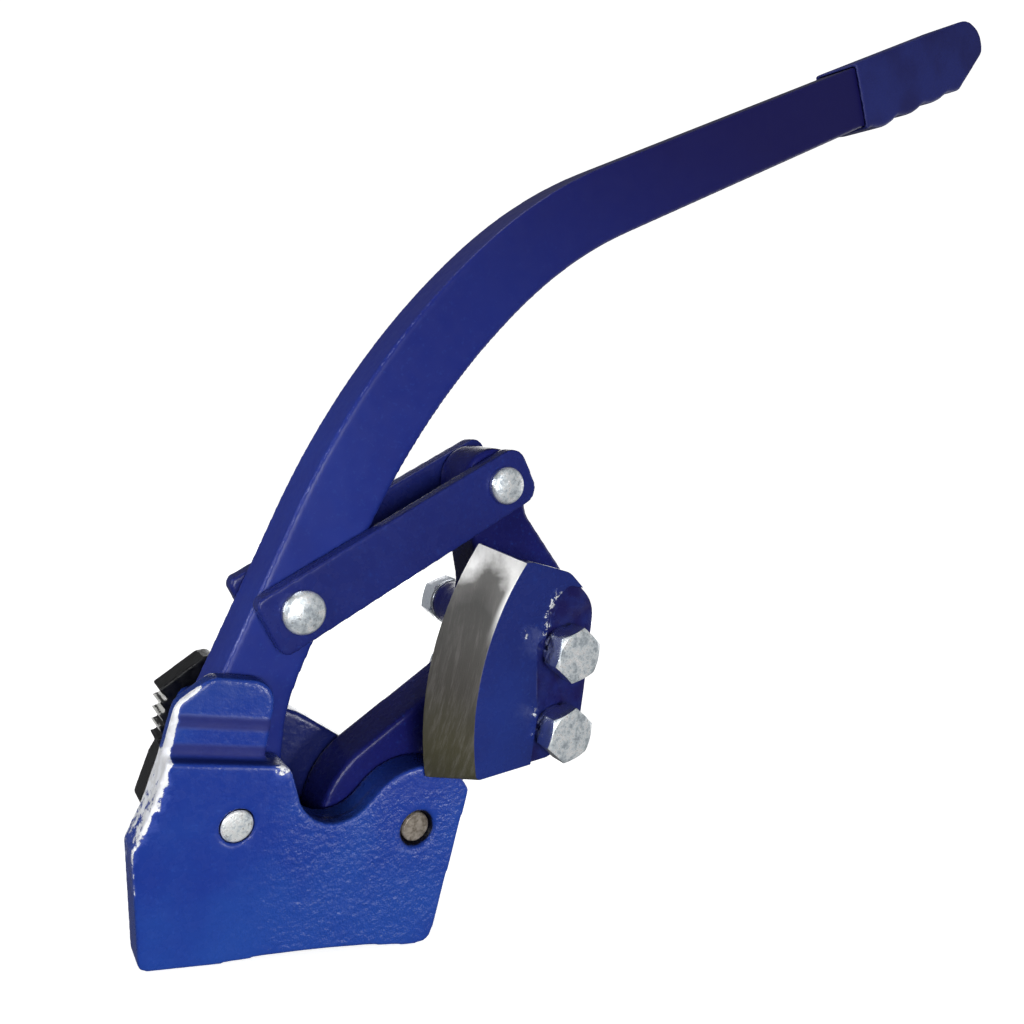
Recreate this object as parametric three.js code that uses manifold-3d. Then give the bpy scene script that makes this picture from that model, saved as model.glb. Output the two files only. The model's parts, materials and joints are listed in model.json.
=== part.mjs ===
// Manual drum deheader: a long curved lever works a pivoting arm through a pair of links, and the
// arm swings a bevelled blade down past the front of a cast body. Millimetres, +Z up.
// X runs along the base of the body, Y from the blade side (-) to the nut side (+), and the origin
// is on the sole of the body, straight below the lever's pivot and in the mid plane of the lever.
import * as THREE from 'three';
import { mergeVertices } from 'three/addons/utils/BufferGeometryUtils.js';
import Module from 'manifold-3d';

const wasm = await Module();
wasm.setup();

// ---------------------------------------------------------------- driving dimensions
const PIVOT_LEVER = [0, 42.5];
const PIVOT_ARM = [62.5, 40.5];
const PIVOT_LINK_LOW = [7.6, 107.4];
const PIVOT_LINK_TOP = [70, 160.3];

const LEVER_THICK = 19;
const LEVER_WIDE = 25.2;
const LEVER_HUB_R = 19;
const LEVER_LEAN = 13.1;
const LEVER_BEND_START = [14, 137];
const LEVER_BENDS = [{ r: 278, lean: 34.5 }, { r: 193, lean: 51.6 }];
const LEVER_STRAIGHT = 228;
const LEVER_END_R = 5;

const GRIP_LONG = 101;
const GRIP_WALL = 1.2;
const GRIP_SCALLOP_DEEP = 2.2;
const GRIP_SCALLOP_PITCH = 20.75;
const GRIP_SCALLOPS_FROM = 4;
const GRIP_NOSE = 22.5;

const SIDE_GAP = 0.4;
const FIT_GAP = 0.3;
const FACE_GAP = 0.1;
const LINK_THICK = 6.3;
const LINK_WIDE = 20.6;
const LINK_END = 11.5;
const LINK_LOW_CORNER_R = 3;
const LINK_TOP_CORNER_R = 6;
const REAR_LINK_RISE = 1.7;
const LINK_EAR_R = 12.4;

const FRONT_CHEEK_THICK = 12.8;
const REAR_CHEEK_THICK = 10;
const LUG_THICK = 6.4;
const LUG_STEP = 1.1;
const BODY_LEFT = -19;
const BODY_RIGHT = 77.4;
const BODY_STEP_Z = 61.2;
const BODY_WEB_HIGH = 12;
const SOLE_HOLLOW = 1.6;
const BOSS_R = 22;
const SOLE_HOLLOW_FROM = 5;
const SOLE_HOLLOW_TO = 66;
const PIN_MOUTH = [[7.2, 0], [6.4, 0.7], [6.2, 2.4]];
const VALLEY_CENTRE = [30.3, 56.9];
const VALLEY_R = 14;

const PIN_R = 5;
const PIN_CHAMFER = 0.6;
const PIN_TAIL = 1.8;
const ARM_PIN_RECESS = 1.6;
const RING_GROOVE_DEEP = 0.9;
const RING_THICK = 1.2;
const RING_WIDE = 2.6;
const RING_MOUTH = 6;
const BUSH_R = 8;
const RIVET_R = 5.5;
const RIVET_HEAD_R = 7.1;
const RIVET_HEAD_HIGH = 3.6;
const EAR_PLAY = 3.2;
const ARM_CAM_R = 30;

const BLADE_THICK = 11.9;
const BLADE_EDGE_R = 106;
const BLADE_BEVEL_WIDE = 13;
const BLADE_CENTRE = [158, 99];
const BLADE_EDGE_STEPS = 14;
const BOLT_PLACES = { upper: [96.8, 109.2], lower: [101.3, 81.5] };
const BOLT_R = 5;
const BOLT_ACROSS_FLATS = 17;
const BOLT_HEAD_HIGH = 7.5;
const NUT_HIGH = 8.4;
const HEAD_CHAMFER_DROP = 1.1;
const BOLT_TAIL = 3;
const SEAT_DEEP = 1.6;
const BLADE_GAP = 0.6;
const NUT_BOSS = { foot: 14, shoulder: 13, neck: 9.4, end: 9.2, shoulderHigh: 3, neckLong: 6 };
const SPLIT_WIDE = 1.6;
const FLAT_WASHER = { inner: 5.4, outer: 9.2, thick: 2 };
const SPRING_WASHER = { inner: 5.3, outer: 8.3, thick: 2.6 };

const JAW_THICK = 10;
const JAW_SCREWS = { upper: [-6.5, 66], lower: [-6.5, 54.5] };
const SCREW_R = 3;
const SCREW_HOLE_DEEP = 8.5;
const SCREW_DEEP = 8;
const SCREW_HEAD = { r: 5, high: 6, chamfer: 0.6, socketAcross: 5, socketDeep: 3.2 };

// ---------------------------------------------------------------- layers across the tool, in Y
const LEVER_FACE = LEVER_THICK / 2;
const CHEEK_INNER = LEVER_FACE + SIDE_GAP;
const FRONT_FACE = -(CHEEK_INNER + FRONT_CHEEK_THICK);
const REAR_FACE = CHEEK_INNER + REAR_CHEEK_THICK;
const LUG_FACE = -(CHEEK_INNER + LUG_THICK);
const LINK_OUTER = CHEEK_INNER + LINK_THICK;
const BLADE_BACK = FRONT_FACE - BLADE_GAP;
const BLADE_FRONT = BLADE_BACK - BLADE_THICK;
const SEAT_FACE = BLADE_FRONT + SEAT_DEEP;
const NUT_SEAT = { upper: 44, lower: 34 };

const RING_FROM = REAR_FACE + FIT_GAP;

const CUT = 1;
const BORE_PLAY = 0.15;
const BOLT_PLAY = 0.3;
const ARC_STEP_MAX = 9;
const ARC_CHORD_MAX = 7;
const ROUND_STEPS = 32;
const SMALL_ROUND_STEPS = 24;

// ---------------------------------------------------------------- outlines, in X and Z
const radians = THREE.MathUtils.degToRad;

function onCircle([x, z], r, degrees) {
  return [x + r * Math.cos(radians(degrees)), z + r * Math.sin(radians(degrees))];
}

function stepsFor(r, from, to) {
  const span = Math.abs(to - from);
  return Math.max(1, Math.ceil(span / ARC_STEP_MAX), Math.ceil((radians(span) * r) / ARC_CHORD_MAX));
}

// Points along a circle from one angle to another, counted the way the angles run.
function arc(centre, r, from, to, steps = stepsFor(r, from, to)) {
  return Array.from({ length: steps + 1 }, (_, i) => onCircle(centre, r, from + ((to - from) * i) / steps));
}

// Corners are [x, z] or [x, z, radius]; each radius becomes a tangent arc.
function roundCorners(corners) {
  const points = [];
  corners.forEach(([x, z, r = 0], i) => {
    if (r === 0) {
      points.push([x, z]);
      return;
    }
    const here = new THREE.Vector2(x, z);
    const last = corners.at(i - 1);
    const next = corners[(i + 1) % corners.length];
    const toLast = new THREE.Vector2(last[0], last[1]).sub(here).normalize();
    const toNext = new THREE.Vector2(next[0], next[1]).sub(here).normalize();
    const half = Math.acos(THREE.MathUtils.clamp(toLast.dot(toNext), -1, 1)) / 2;
    const inward = toLast.clone().add(toNext).normalize();
    const centre = here.clone().addScaledVector(inward, r / Math.sin(half));
    const start = here.clone().addScaledVector(toLast, r / Math.tan(half)).sub(centre);
    const end = here.clone().addScaledVector(toNext, r / Math.tan(half)).sub(centre);
    const from = THREE.MathUtils.radToDeg(start.angle());
    let sweep = THREE.MathUtils.radToDeg(end.angle()) - from;
    sweep -= 360 * Math.round(sweep / 360);
    points.push(...arc([centre.x, centre.y], r, from, from + sweep));
  });
  return points;
}

// ---------------------------------------------------------------- solids
function toSolid(geometry) {
  const bare = geometry.clone();
  bare.deleteAttribute('normal');
  bare.deleteAttribute('uv');
  const merged = mergeVertices(bare, 1e-4);
  return new wasm.Manifold(new wasm.Mesh({
    numProp: 3,
    vertProperties: new Float32Array(merged.attributes.position.array),
    triVerts: new Uint32Array(merged.index.array),
  }));
}

function toGeometry(solid) {
  const mesh = solid.getMesh();
  const geometry = new THREE.BufferGeometry();
  geometry.setAttribute('position', new THREE.BufferAttribute(mesh.vertProperties, 3));
  geometry.setIndex(new THREE.BufferAttribute(mesh.triVerts, 1));
  geometry.computeVertexNormals();
  return geometry;
}

// A flat piece: an outline in X and Z, filled between two values of Y.
function plate(corners, yFrom, yTo) {
  const shape = new THREE.Shape(roundCorners(corners).map(([x, z]) => new THREE.Vector2(x, z)));
  const geometry = new THREE.ExtrudeGeometry(shape, { depth: yTo - yFrom, bevelEnabled: false });
  geometry.rotateX(Math.PI / 2);
  geometry.translate(0, yTo, 0);
  return toSolid(geometry);
}

// A turned piece on an axis along Y: the profile is a list of [radius, y], closed on itself or on the axis.
function turned([x, z], profile, steps = ROUND_STEPS) {
  const points = profile.map(([r, y]) => new THREE.Vector2(r, y));
  const geometry = new THREE.LatheGeometry(points, steps);
  geometry.translate(x, 0, z);
  const solid = toSolid(geometry);
  return solid.volume() > 0 ? solid : toSolid(flipped(geometry));
}

function flipped(geometry) {
  const copy = geometry.clone();
  const index = copy.index.array;
  for (let i = 0; i < index.length; i += 3) {
    [index[i + 1], index[i + 2]] = [index[i + 2], index[i + 1]];
  }
  return copy;
}

function rod(place, r, yFrom, yTo, steps = ROUND_STEPS) {
  return turned(place, [[0, yFrom], [r, yFrom], [r, yTo], [0, yTo]], steps);
}

// The solid with a round hole through it from yFrom to yTo.
function bored(solid, place, r, yFrom, yTo) {
  return solid.subtract(rod(place, r, yFrom - CUT, yTo + CUT));
}

function ring(place, inner, outer, yFrom, yTo) {
  return turned(place, [[inner, yFrom], [outer, yFrom], [outer, yTo], [inner, yTo], [inner, yFrom]]);
}

function hexagon([x, z], acrossFlats, yFrom, yTo) {
  const r = acrossFlats / Math.sqrt(3);
  const corners = Array.from({ length: 6 }, (_, i) => onCircle([x, z], r, 90 + 60 * i));
  return plate(corners, yFrom, yTo);
}

// A solid ruled between two outlines that have the same number of points, in the planes yFront and yBack.
function ruled(front, yFront, back, yBack) {
  const count = front.length;
  const positions = [];
  front.forEach(([x, z]) => positions.push(x, yFront, z));
  back.forEach(([x, z]) => positions.push(x, yBack, z));
  const asVectors = (outline) => outline.map(([x, z]) => new THREE.Vector2(x, z));
  const index = [];
  THREE.ShapeUtils.triangulateShape(asVectors(front), []).forEach(([a, b, c]) => index.push(a, b, c));
  THREE.ShapeUtils.triangulateShape(asVectors(back), []).forEach(([a, b, c]) => {
    index.push(count + a, count + c, count + b);
  });
  for (let i = 0; i < count; i += 1) {
    const next = (i + 1) % count;
    index.push(i, count + i, next, next, count + i, count + next);
  }
  const geometry = new THREE.BufferGeometry();
  geometry.setAttribute('position', new THREE.Float32BufferAttribute(positions, 3));
  geometry.setIndex(index);
  const solid = toSolid(geometry);
  return solid.volume() > 0 ? solid : toSolid(flipped(geometry));
}

// ---------------------------------------------------------------- body casting
function bodyCasting() {
  const boss = arc(PIVOT_ARM, BOSS_R, 40, 153);
  const valley = arc(VALLEY_CENTRE, VALLEY_R, 333, 200);
  const rightEdge = [[BODY_RIGHT, 0, 5], [BODY_RIGHT + 2, 50, 6]];
  const front = plate(
    [[BODY_LEFT, 0, 2.5], ...rightEdge, ...boss, ...valley, [12.5, BODY_STEP_Z, 5], [-24.2, BODY_STEP_Z],
      [-25.8, 46, 20], [-28.4, 35, 2.5]],
    FRONT_FACE, -CHEEK_INNER,
  );
  const lug = plate(
    [[-24.6, 52], [8, 52], [5.6, 60, 3], [5.6, 85, 8], [-15, 85, 5], [-23.8, 76, 6]],
    LUG_FACE, -CHEEK_INNER,
  );
  const lugPad = plate([[-24.2, 54], [6, 54], [5.6, 71.6], [-22.6, 71.6]], LUG_FACE - LUG_STEP, -CHEEK_INNER);
  const rearLeft = BODY_LEFT + 5;
  const rear = plate(
    [[rearLeft, 0, 5], ...rightEdge, ...arc(PIVOT_ARM, BOSS_R, 40, 128), [24.8, 68.6, 20],
      [rearLeft, 73, 4]],
    CHEEK_INNER, REAR_FACE,
  );
  const web = plate(
    [[rearLeft, 0], [BODY_RIGHT - 1, 0], [BODY_RIGHT - 1, BODY_WEB_HIGH], [rearLeft, BODY_WEB_HIGH]],
    -CHEEK_INNER - 1, CHEEK_INNER + 1,
  );
  const hollowHalf = (SOLE_HOLLOW_TO - SOLE_HOLLOW_FROM) / 2;
  const hollowR = (hollowHalf ** 2 + SOLE_HOLLOW ** 2) / (2 * SOLE_HOLLOW);
  const hollowSpan = THREE.MathUtils.radToDeg(Math.asin(hollowHalf / hollowR));
  const hollowCentre = [(SOLE_HOLLOW_FROM + SOLE_HOLLOW_TO) / 2, SOLE_HOLLOW - hollowR];
  const hollow = plate(
    [
      [SOLE_HOLLOW_FROM, -2 * CUT], [SOLE_HOLLOW_TO, -2 * CUT],
      ...arc(hollowCentre, hollowR, 90 - hollowSpan, 90 + hollowSpan),
    ],
    FRONT_FACE - CUT, REAR_FACE + CUT,
  );
  let solid = front.add(lug).add(lugPad).add(rear).add(web).subtract(hollow);
  solid = bored(solid, PIVOT_LEVER, PIN_R + BORE_PLAY, FRONT_FACE, REAR_FACE);
  solid = bored(solid, PIVOT_ARM, PIN_R + BORE_PLAY, FRONT_FACE, REAR_FACE);
  const mouthFrom = FRONT_FACE - CUT;
  const mouthTo = FRONT_FACE + PIN_MOUTH.at(-1)[1];
  const mouth = [[0, mouthFrom], [PIN_MOUTH[0][0] + CUT, mouthFrom],
    ...PIN_MOUTH.map(([r, deep]) => [r, FRONT_FACE + deep]), [0, mouthTo]];
  solid = solid.subtract(turned(PIVOT_ARM, mouth));
  Object.values(JAW_SCREWS).forEach((place) => {
    solid = solid.subtract(rod(place, SCREW_R + BORE_PLAY, REAR_FACE - SCREW_HOLE_DEEP, REAR_FACE + CUT));
  });
  return solid;
}

// ---------------------------------------------------------------- serrated jaw
function jaw() {
  const teeth = [];
  const toothCount = 4;
  const [topX, topZ, bottomX, bottomZ] = [-19.4, 70, -16.8, 53.5];
  for (let i = 0; i < toothCount; i += 1) {
    const at = (t) => [topX + (bottomX - topX) * t, topZ + (bottomZ - topZ) * t];
    const [tipX, tipZ] = at(i / toothCount);
    const [rootX, rootZ] = at((i + 0.75) / toothCount);
    teeth.push([tipX, tipZ], [rootX + 2.6, rootZ]);
  }
  const outline = [[-8, 81.8, 2], [-12.6, 77], ...teeth, [bottomX, bottomZ], [-14.6, 50.5], [-15.8, 47],
    [-17.6, 32, 2], [-11, 29, 2], [-9.6, 50, 2], [1.5, 52, 2], [1.5, 75, 4], [-4, 83, 2]];
  let solid = plate(outline, REAR_FACE + FACE_GAP, REAR_FACE + FACE_GAP + JAW_THICK);
  Object.values(JAW_SCREWS).forEach((place) => {
    solid = bored(solid, place, SCREW_R + BOLT_PLAY, REAR_FACE, REAR_FACE + FACE_GAP + JAW_THICK);
  });
  return solid;
}

// A socket-head cap screw with its head on the outside of the jaw.
function jawScrew(place) {
  const seat = REAR_FACE + 2 * FACE_GAP + JAW_THICK;
  const top = seat + SCREW_HEAD.high;
  const shank = rod(place, SCREW_R, REAR_FACE - SCREW_DEEP, seat + CUT);
  const head = turned(place, [[0, seat], [SCREW_HEAD.r, seat], [SCREW_HEAD.r, top - SCREW_HEAD.chamfer],
    [SCREW_HEAD.r - SCREW_HEAD.chamfer, top], [0, top]], SMALL_ROUND_STEPS);
  return shank.add(head)
    .subtract(hexagon(place, SCREW_HEAD.socketAcross, top - SCREW_HEAD.socketDeep, top + CUT));
}

// ---------------------------------------------------------------- lever and grip
// The lever's axis: straight up from the hub, through the bends, then straight to the end.
const leverArcs = [];
let leverStraightFrom = LEVER_BEND_START;
let leverLean = LEVER_LEAN;
LEVER_BENDS.forEach(({ r, lean }) => {
  const centre = onCircle(leverStraightFrom, r, -leverLean);
  leverArcs.push({ centre, r, from: 180 - leverLean, to: 180 - lean });
  leverStraightFrom = onCircle(centre, r, 180 - lean);
  leverLean = lean;
});
const leverAlong = [Math.sin(radians(leverLean)), Math.cos(radians(leverLean))];

// A point beside the straight end of the lever: how far along it, and how far up from its axis.
function besideLever(along, up) {
  return [
    leverStraightFrom[0] + leverAlong[0] * along - leverAlong[1] * up,
    leverStraightFrom[1] + leverAlong[1] * along + leverAlong[0] * up,
  ];
}

function lever() {
  const half = LEVER_WIDE / 2;
  const bend = (side) => leverArcs.flatMap(({ centre, r, from, to }, i) => (
    arc(centre, r + side, from, to).slice(i === 0 ? 0 : 1)));
  const outline = [
    ...arc(PIVOT_LEVER, LEVER_HUB_R, 170, 396),
    [12.2, 76, 60], [17.4, 102, 60],
    ...bend(-half),
    [...besideLever(LEVER_STRAIGHT, -half), LEVER_END_R],
    [...besideLever(LEVER_STRAIGHT, half), LEVER_END_R],
    ...bend(half).reverse(),
  ];
  const solid = plate(outline, -LEVER_FACE, LEVER_FACE);
  const hub = bored(solid, PIVOT_LEVER, BUSH_R + BORE_PLAY, -LEVER_FACE, LEVER_FACE);
  return bored(hub, PIVOT_LINK_LOW, RIVET_R + BORE_PLAY, -LEVER_FACE, LEVER_FACE);
}

// A sleeve with finger scallops underneath and a solid rounded nose past the end of the lever.
function grip() {
  const start = LEVER_STRAIGHT + GRIP_NOSE - GRIP_LONG;
  const outer = LEVER_WIDE / 2 + FIT_GAP + GRIP_WALL;
  const at = (along, up, r = 0) => [...besideLever(start + along, up), r];
  const stepsPerScallop = 8;
  const scallops = 3.5;
  const steps = scallops * stepsPerScallop;
  const underside = Array.from({ length: steps + 1 }, (_, i) => {
    const crest = Math.abs(Math.sin((Math.PI * i) / stepsPerScallop));
    const fade = 1 - (0.5 * i) / steps;
    const along = GRIP_SCALLOPS_FROM + (GRIP_SCALLOP_PITCH * i) / stepsPerScallop;
    return at(along, -outer - GRIP_SCALLOP_DEEP * fade * crest);
  });
  const outline = [
    at(0, -outer, 0.8), ...underside,
    at(GRIP_LONG, -3, 5), at(GRIP_LONG, outer - 8.5, 9), at(GRIP_LONG - 8.5, outer, 14),
    at(0, outer, 0.8),
  ];
  const halfDeep = LEVER_FACE + FIT_GAP + GRIP_WALL;
  const half = LEVER_WIDE / 2 + FIT_GAP;
  const pocketEnd = LEVER_STRAIGHT + FIT_GAP;
  const pocket = plate(
    [
      besideLever(start - CUT, -half), [...besideLever(pocketEnd, -half), LEVER_END_R],
      [...besideLever(pocketEnd, half), LEVER_END_R], besideLever(start - CUT, half),
    ],
    -LEVER_FACE - FIT_GAP, LEVER_FACE + FIT_GAP,
  );
  return plate(outline, -halfDeep, halfDeep).subtract(pocket);
}

// ---------------------------------------------------------------- links and pins
// rise is how much more than half the width the bar has above its holes.
function link(yFrom, yTo, rise = 0) {
  const low = new THREE.Vector2(...PIVOT_LINK_LOW);
  const top = new THREE.Vector2(...PIVOT_LINK_TOP);
  const along = top.clone().sub(low).normalize();
  const across = new THREE.Vector2(-along.y, along.x);
  const half = LINK_WIDE / 2;
  const corner = (from, reach, side, r) => {
    const at = from.clone().addScaledVector(along, reach).addScaledVector(across, side);
    return [at.x, at.y, r];
  };
  const outline = [
    corner(low, -LINK_END, -half, LINK_LOW_CORNER_R), corner(top, LINK_END, -half, LINK_TOP_CORNER_R),
    corner(top, LINK_END, half + rise, LINK_TOP_CORNER_R - rise),
    corner(low, -LINK_END, half + rise, LINK_LOW_CORNER_R),
  ];
  const bar = bored(plate(outline, yFrom, yTo), PIVOT_LINK_LOW, RIVET_R + BORE_PLAY, yFrom, yTo);
  return bored(bar, PIVOT_LINK_TOP, RIVET_R + BORE_PLAY, yFrom, yTo);
}

// A shank across the links with a domed head on each outer face.
function linkRivet(place, headR) {
  const face = LINK_OUTER + FACE_GAP;
  const domeShape = [[1, 0], [1, 0.39], [0.86, 0.78], [0.5, 0.97], [0, 1]];
  const dome = domeShape.map(([out, up]) => [headR * out, face + RIVET_HEAD_HIGH * up]);
  const mirrored = dome.map(([r, y]) => [r, -y]).reverse();
  return turned(place, [...mirrored, [RIVET_R, -face], [RIVET_R, face], ...dome]);
}

// A plain pin through both cheeks, grooved behind the rear cheek for its retaining ring.
function cheekPin(place, yFront) {
  const groove = PIN_R - RING_GROOVE_DEEP;
  const from = RING_FROM - FACE_GAP;
  const to = RING_FROM + RING_THICK + FACE_GAP;
  const end = to + PIN_TAIL;
  return turned(place, [[0, yFront], [PIN_R - PIN_CHAMFER, yFront], [PIN_R, yFront + PIN_CHAMFER],
    [PIN_R, from], [groove, from], [groove, to], [PIN_R, to], [PIN_R, end - PIN_CHAMFER],
    [PIN_R - PIN_CHAMFER, end], [0, end]]);
}

function retainingRing([x, z]) {
  const inner = PIN_R - RING_GROOVE_DEEP + FIT_GAP;
  const to = RING_FROM + RING_THICK;
  const half = RING_MOUTH / 2;
  const mouth = plate(
    [[x - half, z - 2 * PIN_R], [x + half, z - 2 * PIN_R], [x + half, z], [x - half, z]],
    RING_FROM - CUT, to + CUT,
  );
  return ring([x, z], inner, PIN_R + RING_WIDE, RING_FROM, to).subtract(mouth);
}

function bush(place) {
  return ring(place, PIN_R + FACE_GAP, BUSH_R, -LEVER_FACE, LEVER_FACE);
}

// ---------------------------------------------------------------- blade arm
function bladeArm() {
  const web = plate(
    [
      ...arc(PIVOT_ARM, ARM_CAM_R, 202, 134),
      [72.5, 92, 10], [75.2, 108, 12], [74, 123, 8], [69, 134, 8],
      ...arc(PIVOT_LINK_TOP, LINK_EAR_R, 200, 10),
      [86, 152.5, 12], [110, 133.5, 12], [116, 120, 8], [117, 78, 10], [103, 66, 12], [83, 50, 8],
      ...arc(PIVOT_ARM, 18, 0, -100),
    ].reverse(),
    -LEVER_FACE, LEVER_FACE,
  );
  const pad = plate(
    [[82, 76, 6], [84, 70, 4], [104, 70, 8], [113, 79, 8], [111, 96, 10], [107.5, 126, 10], [92, 133.5, 6],
      [80, 133.5, 6]],
    BLADE_BACK + FACE_GAP, -LEVER_FACE + 1,
  );
  let solid = web.add(pad);
  Object.entries(BOLT_PLACES).forEach(([which, place]) => {
    const seat = NUT_SEAT[which];
    const { foot, shoulder, neck, end, shoulderHigh, neckLong } = NUT_BOSS;
    const boss = [[0, LEVER_FACE - CUT], [foot, LEVER_FACE - CUT], [shoulder, LEVER_FACE + shoulderHigh],
      [neck, seat - neckLong], [end, seat], [0, seat]];
    solid = bored(solid.add(turned(place, boss)), place, BOLT_R + BOLT_PLAY, BLADE_BACK, seat);
  });
  solid = bored(solid, PIVOT_ARM, BUSH_R + BORE_PLAY, -LEVER_FACE, LEVER_FACE);
  return bored(solid, PIVOT_LINK_TOP, RIVET_R + EAR_PLAY, -LEVER_FACE, LEVER_FACE);
}

// ---------------------------------------------------------------- blade, bolts and nuts
function blade() {
  const edge = (r, from) => arc(BLADE_CENTRE, r, from, 202.3, BLADE_EDGE_STEPS);
  const rest = roundCorners([[74, 62.4], [101, 70.4, 4], [113, 78, 12], [111, 96, 20], [106.5, 127, 12],
    [92, 136, 8], [76, 137]]);
  const front = [...edge(BLADE_EDGE_R - BLADE_BEVEL_WIDE, 156.3), ...rest];
  const back = [...edge(BLADE_EDGE_R, 157.7), ...rest];
  let solid = ruled(front, BLADE_FRONT, back, BLADE_BACK);
  const seat = [[94.5, 60], [122, 60], [122, 132], [92.6, 131.5, 3], [86.3, 123.5, 5], [87.8, 113, 3],
    [84.8, 109.5, 2], [91.8, 84.6]];
  solid = solid.subtract(plate(seat, BLADE_FRONT - CUT, SEAT_FACE));
  Object.values(BOLT_PLACES).forEach((place) => {
    solid = bored(solid, place, BOLT_R + BOLT_PLAY, BLADE_FRONT, BLADE_BACK);
  });
  return solid;
}

const SPRING_WASHER_FACE = SEAT_FACE - FACE_GAP;
const BOLT_HEAD_SEAT = SPRING_WASHER_FACE - SPRING_WASHER.thick - FACE_GAP;

function flatWasherFace(which) {
  return NUT_SEAT[which] + FACE_GAP + FLAT_WASHER.thick;
}

function flatWasher(place, which) {
  const { inner, outer, thick } = FLAT_WASHER;
  return ring(place, inner, outer, flatWasherFace(which) - thick, flatWasherFace(which));
}

function springWasher(place) {
  const { inner, outer, thick } = SPRING_WASHER;
  const whole = ring(place, inner, outer, SPRING_WASHER_FACE - thick, SPRING_WASHER_FACE);
  const [x, z] = place;
  const reach = outer + CUT;
  const half = SPLIT_WIDE / 2;
  const split = plate(
    [[x - reach, z - half], [x, z - half], [x, z + half], [x - reach, z + half]],
    SPRING_WASHER_FACE - thick - CUT, SPRING_WASHER_FACE + CUT,
  );
  return whole.subtract(split);
}

// Cuts the corners of a hexagon to a cone, as on a turned bolt head or nut.
function chamferCone(place, yWide, yNarrow) {
  const flat = (BOLT_ACROSS_FLATS / 2) * 0.97;
  const corner = BOLT_ACROSS_FLATS / Math.sqrt(3) + 0.2;
  const inward = Math.sign(yWide - yNarrow);
  return turned(place, [[0, yNarrow], [flat, yNarrow], [corner, yNarrow + inward * HEAD_CHAMFER_DROP],
    [corner, yWide + inward * CUT], [0, yWide + inward * CUT]]);
}

function bladeBolt(place, which) {
  const headFace = BOLT_HEAD_SEAT - BOLT_HEAD_HIGH;
  const head = hexagon(place, BOLT_ACROSS_FLATS, headFace, BOLT_HEAD_SEAT)
    .intersect(chamferCone(place, BOLT_HEAD_SEAT, headFace));
  const from = BOLT_HEAD_SEAT - CUT;
  const end = flatWasherFace(which) + NUT_HIGH + BOLT_TAIL;
  const shank = turned(place, [[0, from], [BOLT_R, from], [BOLT_R, end - 1], [BOLT_R - 1, end], [0, end]],
    SMALL_ROUND_STEPS);
  return head.add(shank);
}

function bladeNut(place, which) {
  const from = flatWasherFace(which) + FACE_GAP;
  const to = from + NUT_HIGH;
  const nut = hexagon(place, BOLT_ACROSS_FLATS, from, to).intersect(chamferCone(place, from, to));
  return bored(nut, place, BOLT_R + BORE_PLAY, from, to);
}

// ---------------------------------------------------------------- assembly
const finishes = {
  paint: { color: 0x20308f, roughness: 0.38, metalness: 0.1 },
  vinyl: { color: 0x1c2f9c, roughness: 0.5, metalness: 0 },
  zinc: { color: 0xcfd2d2, roughness: 0.3, metalness: 0.9 },
  ground_steel: { color: 0x8b867c, roughness: 0.3, metalness: 0.95 },
  pin_steel: { color: 0xa89f94, roughness: 0.35, metalness: 0.9 },
  black_oxide: { color: 0x16171a, roughness: 0.45, metalness: 0.7 },
  bronze: { color: 0xa9793f, roughness: 0.4, metalness: 0.85 },
};

const tool = new THREE.Group();

function place(name, solid, finish) {
  const mesh = new THREE.Mesh(toGeometry(solid), new THREE.MeshStandardMaterial(finishes[finish]));
  mesh.name = name;
  tool.add(mesh);
}

place('body_casting', bodyCasting(), 'paint');
place('lever_pin', cheekPin(PIVOT_LEVER, FRONT_FACE), 'zinc');
place('arm_pin', cheekPin(PIVOT_ARM, FRONT_FACE + ARM_PIN_RECESS), 'pin_steel');
place('lever_pin_ring', retainingRing(PIVOT_LEVER), 'black_oxide');
place('arm_pin_ring', retainingRing(PIVOT_ARM), 'black_oxide');
place('gripper_jaw', jaw(), 'black_oxide');
Object.entries(JAW_SCREWS).forEach(([which, at]) => {
  place(`jaw_screw_${which}`, jawScrew(at), 'black_oxide');
});

place('lever', lever(), 'paint');
place('lever_grip', grip(), 'vinyl');
place('lever_bush', bush(PIVOT_LEVER), 'bronze');
place('link_rivet_lower', linkRivet(PIVOT_LINK_LOW, RIVET_HEAD_R), 'zinc');

place('link_front', link(-LINK_OUTER, -CHEEK_INNER), 'paint');
place('link_rear', link(CHEEK_INNER, LINK_OUTER, REAR_LINK_RISE), 'paint');
place('link_rivet_upper', linkRivet(PIVOT_LINK_TOP, RIVET_HEAD_R - 0.4), 'zinc');

place('blade_arm', bladeArm(), 'paint');
place('arm_bush', bush(PIVOT_ARM), 'bronze');
place('cutting_blade', blade(), 'ground_steel');
Object.entries(BOLT_PLACES).forEach(([which, at]) => {
  place(`blade_bolt_${which}`, bladeBolt(at, which), 'zinc');
  place(`flat_washer_${which}`, flatWasher(at, which), 'zinc');
  place(`spring_washer_${which}`, springWasher(at), 'zinc');
  place(`blade_nut_${which}`, bladeNut(at, which), 'zinc');
});

export default tool;
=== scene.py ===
import json
import math

import bmesh
import bpy
import numpy as np
from mathutils import Matrix, Vector


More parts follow.
